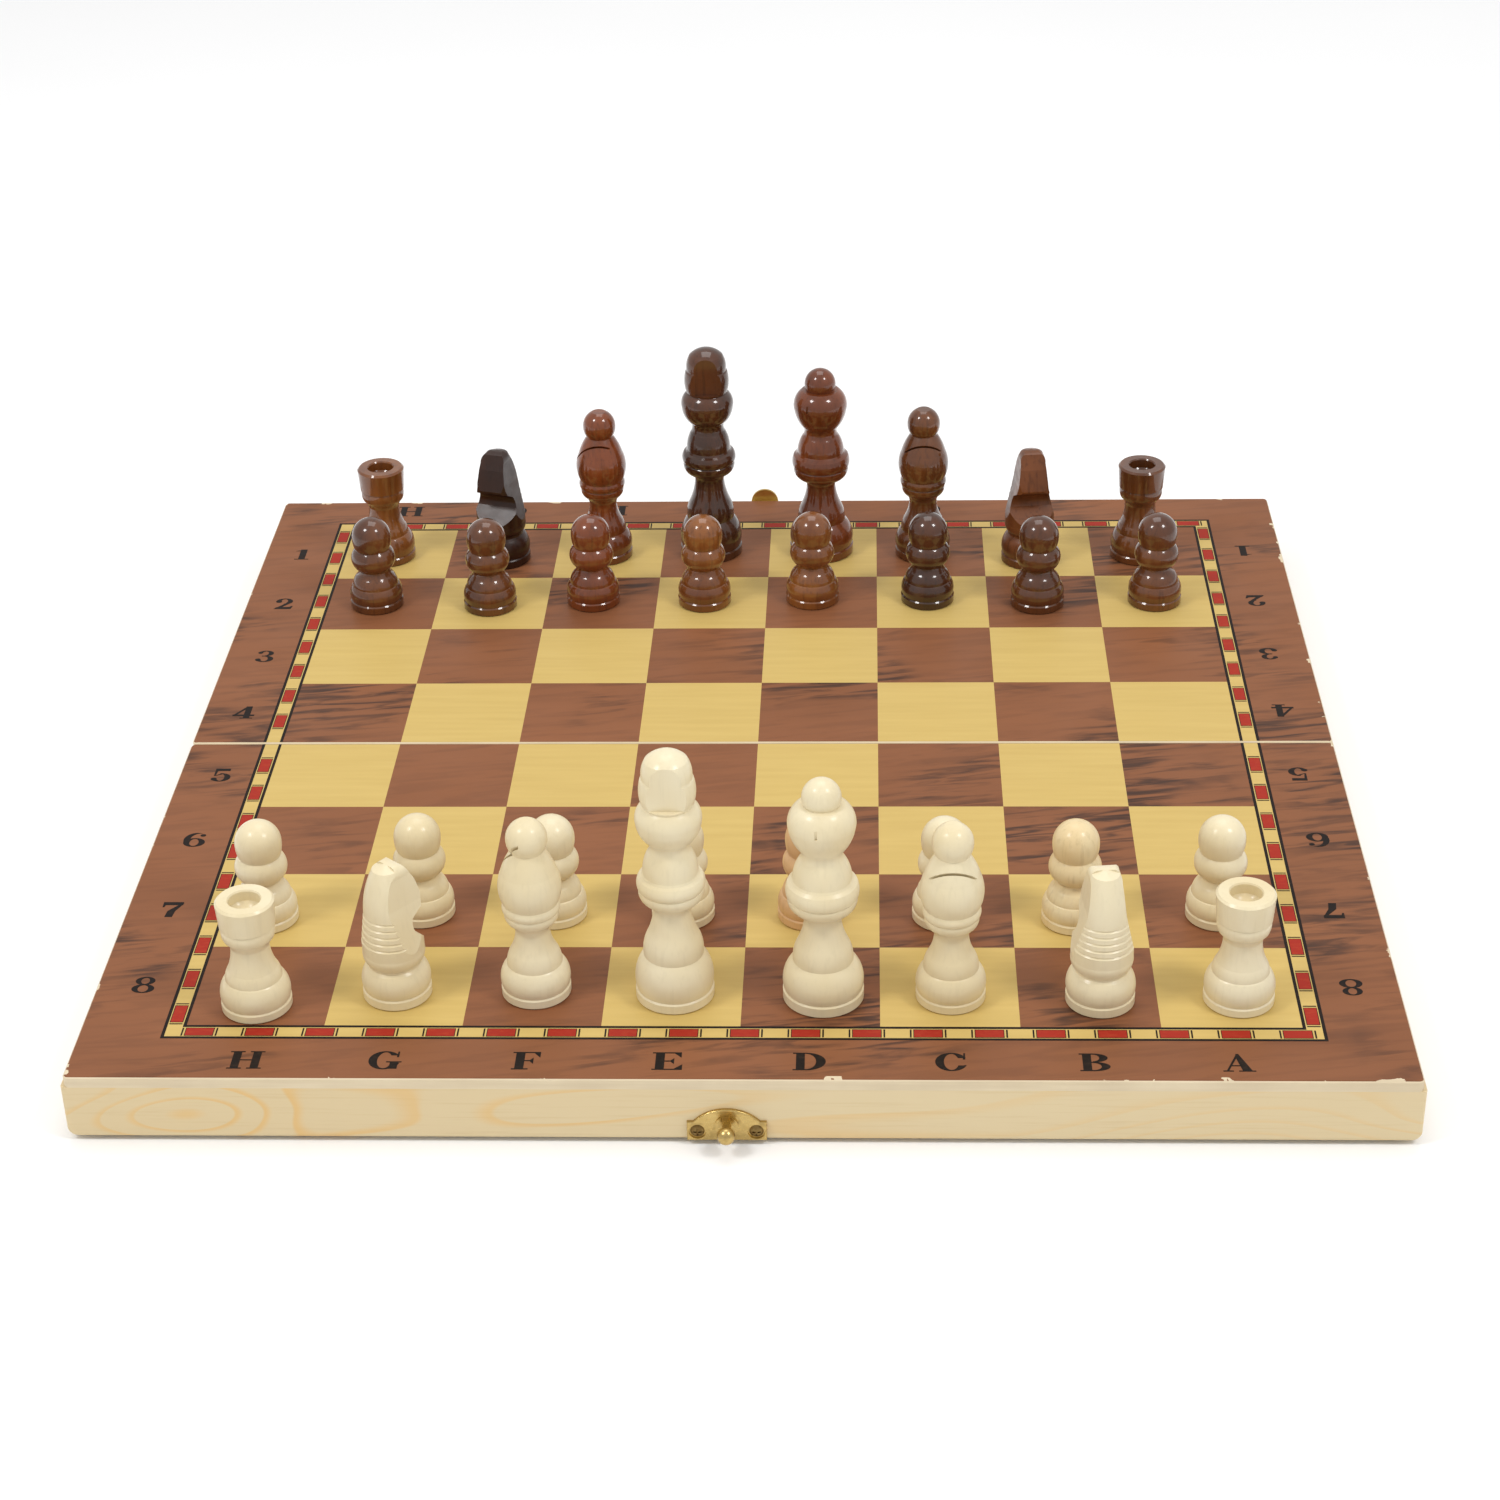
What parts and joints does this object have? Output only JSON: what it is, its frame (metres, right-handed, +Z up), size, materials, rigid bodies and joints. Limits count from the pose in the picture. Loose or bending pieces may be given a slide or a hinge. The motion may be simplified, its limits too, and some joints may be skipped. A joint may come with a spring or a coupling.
{
  "type": "chess set with folding board",
  "caption": "Folding wooden box board in two hinged halves with a brass hook latch, and turned chessmen set up on it.",
  "frame": {"origin": "on the rim plane, under the middle of the seam between the halves", "axes": "+X to the right along the near edge, +Y from the near player to the far one, +Z up"},
  "size_m": [0.34, 0.3409, 0.0923],
  "materials": {
    "printed_board": "satin print",
    "pine": "satin lacquer",
    "brass": "bright plated",
    "brass_screw": "bright plated",
    "cream_lacquer": "gloss lacquer",
    "brown_lacquer": "gloss lacquer"
  },
  "bodies": {
    "near_half": {"near_panel": "printed_board", "near_outer_rail": "pine", "near_left_rail": "pine", "near_right_rail": "pine", "near_seam_rail": "pine", "near_hinge_screws": "brass_screw", "left_hinge_near_leaf": "brass", "right_hinge_near_leaf": "brass", "left_hinge_pin": "brass", "right_hinge_pin": "brass", "catch_plate": "brass", "catch_screws": "brass_screw", "catch_knob": "brass"},
    "far_half": {"far_panel": "printed_board", "far_outer_rail": "pine", "far_left_rail": "pine", "far_right_rail": "pine", "far_seam_rail": "pine", "far_hinge_screws": "brass_screw", "left_hinge_far_leaf": "brass", "right_hinge_far_leaf": "brass", "latch_plate": "brass", "latch_screws": "brass_screw", "latch_rivet": "brass"},
    "latch_arm": {"latch_arm": "brass"},
    "white_rook_left": {"white_rook_left": "cream_lacquer"},
    "white_knight_left": {"white_knight_left": "cream_lacquer"},
    "white_bishop_left": {"white_bishop_left": "cream_lacquer"},
    "white_king": {"white_king": "cream_lacquer"},
    "white_queen": {"white_queen": "cream_lacquer"},
    "white_bishop_right": {"white_bishop_right": "cream_lacquer"},
    "white_knight_right": {"white_knight_right": "cream_lacquer"},
    "white_rook_right": {"white_rook_right": "cream_lacquer"},
    "white_pawn_1": {"white_pawn_1": "cream_lacquer"},
    "white_pawn_2": {"white_pawn_2": "cream_lacquer"},
    "white_pawn_3": {"white_pawn_3": "cream_lacquer"},
    "white_pawn_4": {"white_pawn_4": "cream_lacquer"},
    "white_pawn_5": {"white_pawn_5": "cream_lacquer"},
    "white_pawn_6": {"white_pawn_6": "cream_lacquer"},
    "white_pawn_7": {"white_pawn_7": "cream_lacquer"},
    "white_pawn_8": {"white_pawn_8": "cream_lacquer"},
    "black_rook_left": {"black_rook_left": "brown_lacquer"},
    "black_knight_left": {"black_knight_left": "brown_lacquer"},
    "black_bishop_left": {"black_bishop_left": "brown_lacquer"},
    "black_king": {"black_king": "brown_lacquer"},
    "black_queen": {"black_queen": "brown_lacquer"},
    "black_bishop_right": {"black_bishop_right": "brown_lacquer"},
    "black_knight_right": {"black_knight_right": "brown_lacquer"},
    "black_rook_right": {"black_rook_right": "brown_lacquer"},
    "black_pawn_1": {"black_pawn_1": "brown_lacquer"},
    "black_pawn_2": {"black_pawn_2": "brown_lacquer"},
    "black_pawn_3": {"black_pawn_3": "brown_lacquer"},
    "black_pawn_4": {"black_pawn_4": "brown_lacquer"},
    "black_pawn_5": {"black_pawn_5": "brown_lacquer"},
    "black_pawn_6": {"black_pawn_6": "brown_lacquer"},
    "black_pawn_7": {"black_pawn_7": "brown_lacquer"},
    "black_pawn_8": {"black_pawn_8": "brown_lacquer"}
  },
  "joints": [
    {"name": "fold", "type": "hinge", "parent": "near_half", "child": "far_half", "pos_m": [0, 0, 0], "axis": [-1, 0, 0], "range_deg": [0, 180]},
    {"name": "latch_swing", "type": "hinge", "parent": "far_half", "child": "latch_arm", "pos_m": [-0.0029, 0.16675, 0.005], "axis": [0, 1, 0], "range_deg": [0, 180]},
    {"name": "lift_white_rook_left", "type": "slide", "parent": "near_half", "child": "white_rook_left", "axis": [0, 0, 1], "range_m": [0, 0.08]},
    {"name": "lift_white_knight_left", "type": "slide", "parent": "near_half", "child": "white_knight_left", "axis": [0, 0, 1], "range_m": [0, 0.08]},
    {"name": "lift_white_bishop_left", "type": "slide", "parent": "near_half", "child": "white_bishop_left", "axis": [0, 0, 1], "range_m": [0, 0.08]},
    {"name": "lift_white_king", "type": "slide", "parent": "near_half", "child": "white_king", "axis": [0, 0, 1], "range_m": [0, 0.08]},
    {"name": "lift_white_queen", "type": "slide", "parent": "near_half", "child": "white_queen", "axis": [0, 0, 1], "range_m": [0, 0.08]},
    {"name": "lift_white_bishop_right", "type": "slide", "parent": "near_half", "child": "white_bishop_right", "axis": [0, 0, 1], "range_m": [0, 0.08]},
    {"name": "lift_white_knight_right", "type": "slide", "parent": "near_half", "child": "white_knight_right", "axis": [0, 0, 1], "range_m": [0, 0.08]},
    {"name": "lift_white_rook_right", "type": "slide", "parent": "near_half", "child": "white_rook_right", "axis": [0, 0, 1], "range_m": [0, 0.08]},
    {"name": "lift_white_pawn_1", "type": "slide", "parent": "near_half", "child": "white_pawn_1", "axis": [0, 0, 1], "range_m": [0, 0.08]},
    {"name": "lift_white_pawn_2", "type": "slide", "parent": "near_half", "child": "white_pawn_2", "axis": [0, 0, 1], "range_m": [0, 0.08]},
    {"name": "lift_white_pawn_3", "type": "slide", "parent": "near_half", "child": "white_pawn_3", "axis": [0, 0, 1], "range_m": [0, 0.08]},
    {"name": "lift_white_pawn_4", "type": "slide", "parent": "near_half", "child": "white_pawn_4", "axis": [0, 0, 1], "range_m": [0, 0.08]},
    {"name": "lift_white_pawn_5", "type": "slide", "parent": "near_half", "child": "white_pawn_5", "axis": [0, 0, 1], "range_m": [0, 0.08]},
    {"name": "lift_white_pawn_6", "type": "slide", "parent": "near_half", "child": "white_pawn_6", "axis": [0, 0, 1], "range_m": [0, 0.08]},
    {"name": "lift_white_pawn_7", "type": "slide", "parent": "near_half", "child": "white_pawn_7", "axis": [0, 0, 1], "range_m": [0, 0.08]},
    {"name": "lift_white_pawn_8", "type": "slide", "parent": "near_half", "child": "white_pawn_8", "axis": [0, 0, 1], "range_m": [0, 0.08]},
    {"name": "lift_black_rook_left", "type": "slide", "parent": "far_half", "child": "black_rook_left", "axis": [0, 0, 1], "range_m": [0, 0.08]},
    {"name": "lift_black_knight_left", "type": "slide", "parent": "far_half", "child": "black_knight_left", "axis": [0, 0, 1], "range_m": [0, 0.08]},
    {"name": "lift_black_bishop_left", "type": "slide", "parent": "far_half", "child": "black_bishop_left", "axis": [0, 0, 1], "range_m": [0, 0.08]},
    {"name": "lift_black_king", "type": "slide", "parent": "far_half", "child": "black_king", "axis": [0, 0, 1], "range_m": [0, 0.08]},
    {"name": "lift_black_queen", "type": "slide", "parent": "far_half", "child": "black_queen", "axis": [0, 0, 1], "range_m": [0, 0.08]},
    {"name": "lift_black_bishop_right", "type": "slide", "parent": "far_half", "child": "black_bishop_right", "axis": [0, 0, 1], "range_m": [0, 0.08]},
    {"name": "lift_black_knight_right", "type": "slide", "parent": "far_half", "child": "black_knight_right", "axis": [0, 0, 1], "range_m": [0, 0.08]},
    {"name": "lift_black_rook_right", "type": "slide", "parent": "far_half", "child": "black_rook_right", "axis": [0, 0, 1], "range_m": [0, 0.08]},
    {"name": "lift_black_pawn_1", "type": "slide", "parent": "far_half", "child": "black_pawn_1", "axis": [0, 0, 1], "range_m": [0, 0.08]},
    {"name": "lift_black_pawn_2", "type": "slide", "parent": "far_half", "child": "black_pawn_2", "axis": [0, 0, 1], "range_m": [0, 0.08]},
    {"name": "lift_black_pawn_3", "type": "slide", "parent": "far_half", "child": "black_pawn_3", "axis": [0, 0, 1], "range_m": [0, 0.08]},
    {"name": "lift_black_pawn_4", "type": "slide", "parent": "far_half", "child": "black_pawn_4", "axis": [0, 0, 1], "range_m": [0, 0.08]},
    {"name": "lift_black_pawn_5", "type": "slide", "parent": "far_half", "child": "black_pawn_5", "axis": [0, 0, 1], "range_m": [0, 0.08]},
    {"name": "lift_black_pawn_6", "type": "slide", "parent": "far_half", "child": "black_pawn_6", "axis": [0, 0, 1], "range_m": [0, 0.08]},
    {"name": "lift_black_pawn_7", "type": "slide", "parent": "far_half", "child": "black_pawn_7", "axis": [0, 0, 1], "range_m": [0, 0.08]},
    {"name": "lift_black_pawn_8", "type": "slide", "parent": "far_half", "child": "black_pawn_8", "axis": [0, 0, 1], "range_m": [0, 0.08]}
  ]
}
